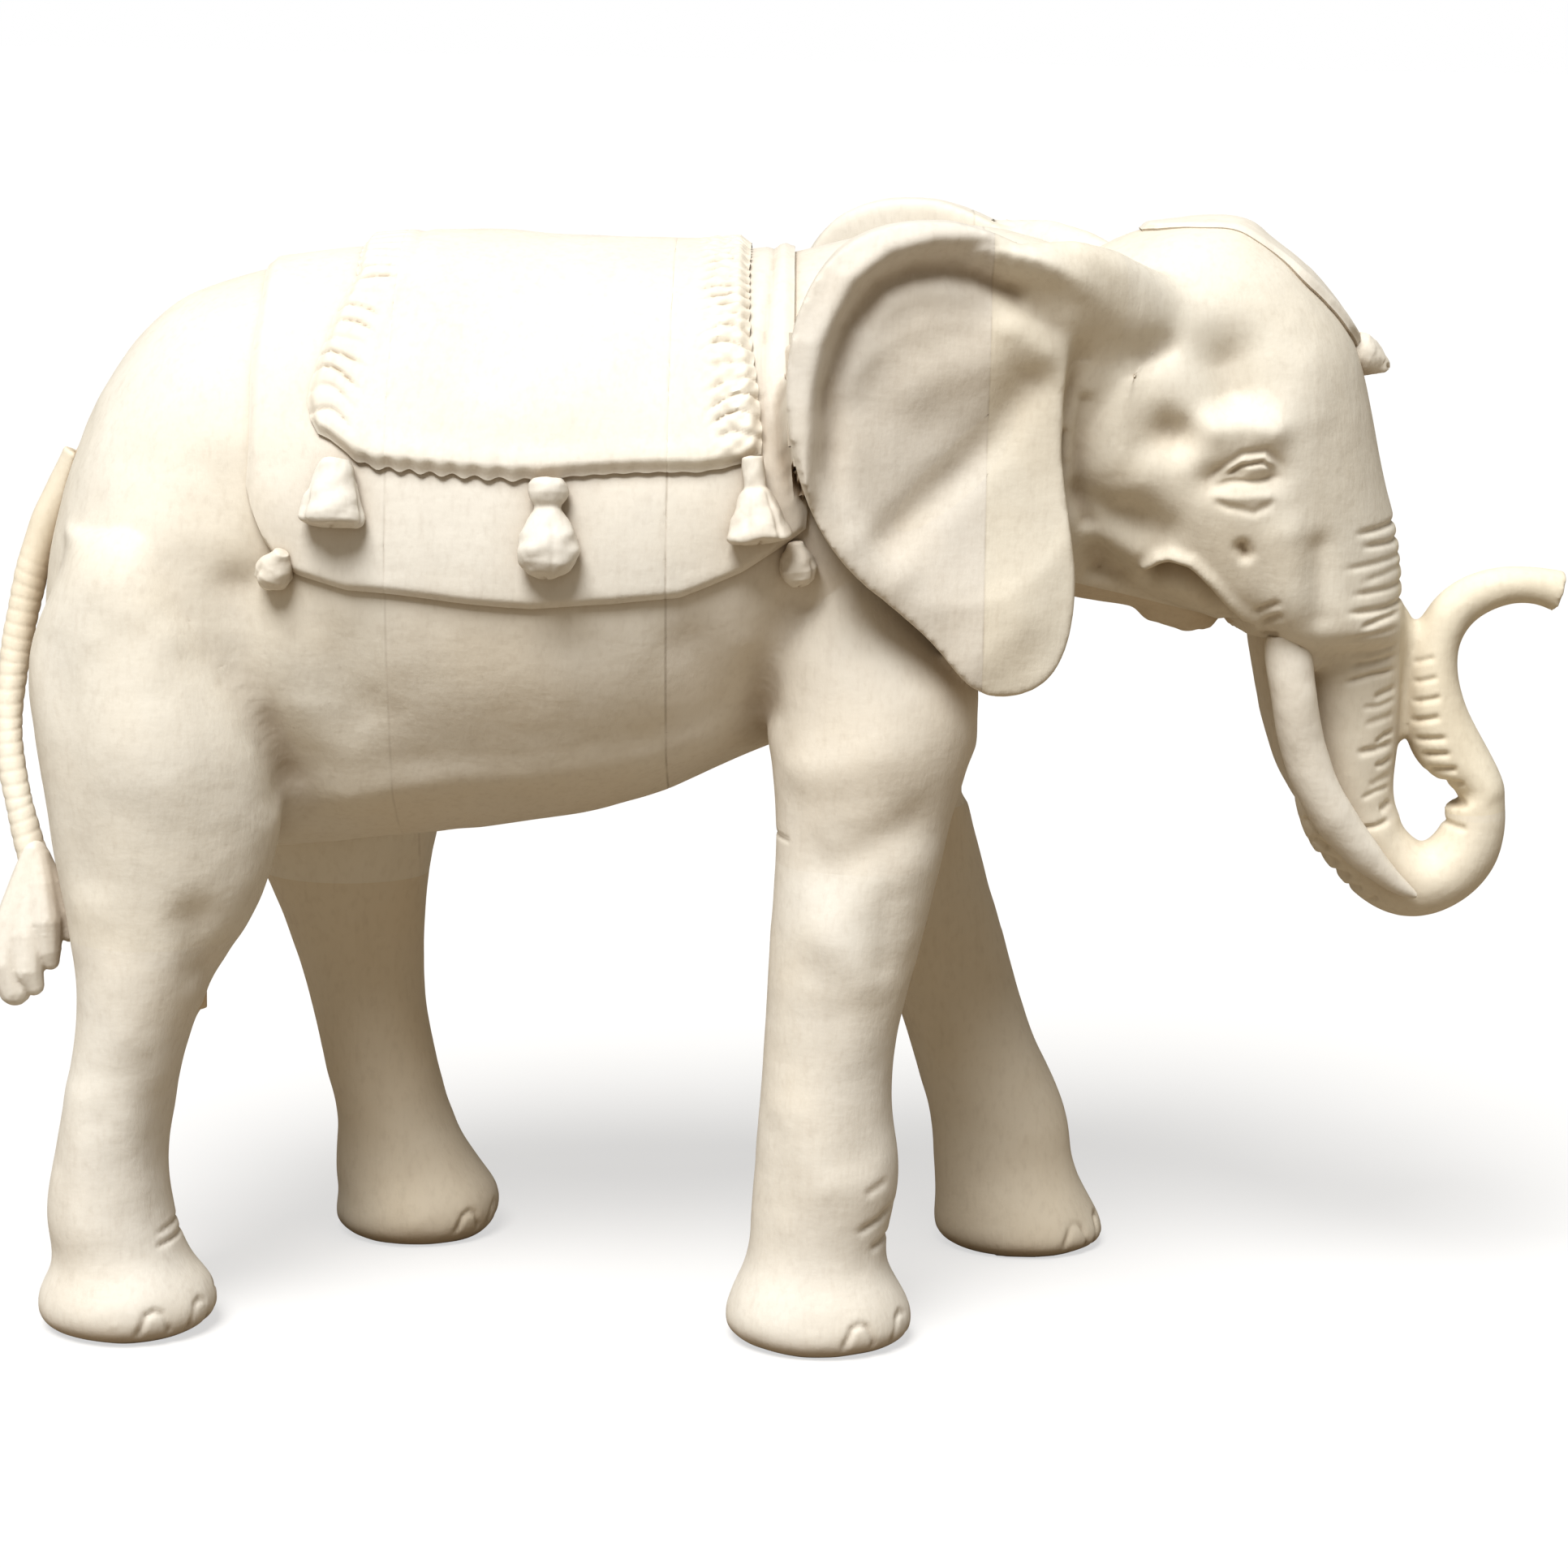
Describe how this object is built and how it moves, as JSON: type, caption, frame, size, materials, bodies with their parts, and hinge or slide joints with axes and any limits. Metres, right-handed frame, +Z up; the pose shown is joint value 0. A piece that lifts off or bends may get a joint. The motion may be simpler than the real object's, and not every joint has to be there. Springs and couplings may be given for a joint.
{
  "type": "elephant figurine",
  "caption": "Walking elephant figurine carved from glued wood blocks, trunk curled up, with a fringed saddle blanket, tassels and a head cloth.",
  "frame": {"origin": "on the surface that it stands on, below the middle of its outline", "axes": "+X towards the head and trunk, +Y towards its left side, +Z up"},
  "size_m": [0.3954, 0.1508, 0.28],
  "materials": {
    "wood": "unpainted pale carving wood, rasped and sanded, matt",
    "cloth": "the same pale wood, carved as cloth and sanded smooth",
    "tassel": "the same pale wood, with knife cuts for threads",
    "tusk": "the same pale wood, sanded smooth",
    "peg": "hardwood dowel, hidden in the glue joints"
  },
  "bodies": {
    "root": {"blanket_front": "cloth", "blanket_middle": "cloth", "blanket_rear": "cloth", "blanket_tassel_left_front": "tassel", "blanket_tassel_left_middle": "tassel", "blanket_tassel_left_rear": "tassel", "blanket_tassel_right_front": "tassel", "blanket_tassel_right_middle": "tassel", "blanket_tassel_right_rear": "tassel", "brow_tassel": "tassel", "ear_left_front": "wood", "ear_left_rear": "wood", "ear_right_front": "wood", "ear_right_rear": "wood", "fore_leg_left": "wood", "fore_leg_right": "wood", "head_block": "wood", "head_cloth": "cloth", "hind_leg_left": "wood", "hind_leg_right": "wood", "leg_dowels": "peg", "loin_block": "wood", "lower_jaw": "wood", "peg_dowels": "peg", "rump_block": "wood", "saddlecloth_front": "cloth", "saddlecloth_middle": "cloth", "saddlecloth_rear": "cloth", "saddlecloth_tassel_left_front": "tassel", "saddlecloth_tassel_left_rear": "tassel", "saddlecloth_tassel_right_front": "tassel", "saddlecloth_tassel_right_rear": "tassel", "shoulder_block": "wood", "tail": "wood", "tail_tuft": "wood", "trunk_bend": "wood", "trunk_tip": "wood", "trunk_upper": "wood", "tusk_left": "tusk", "tusk_right": "tusk"}
  },
  "joints": []
}
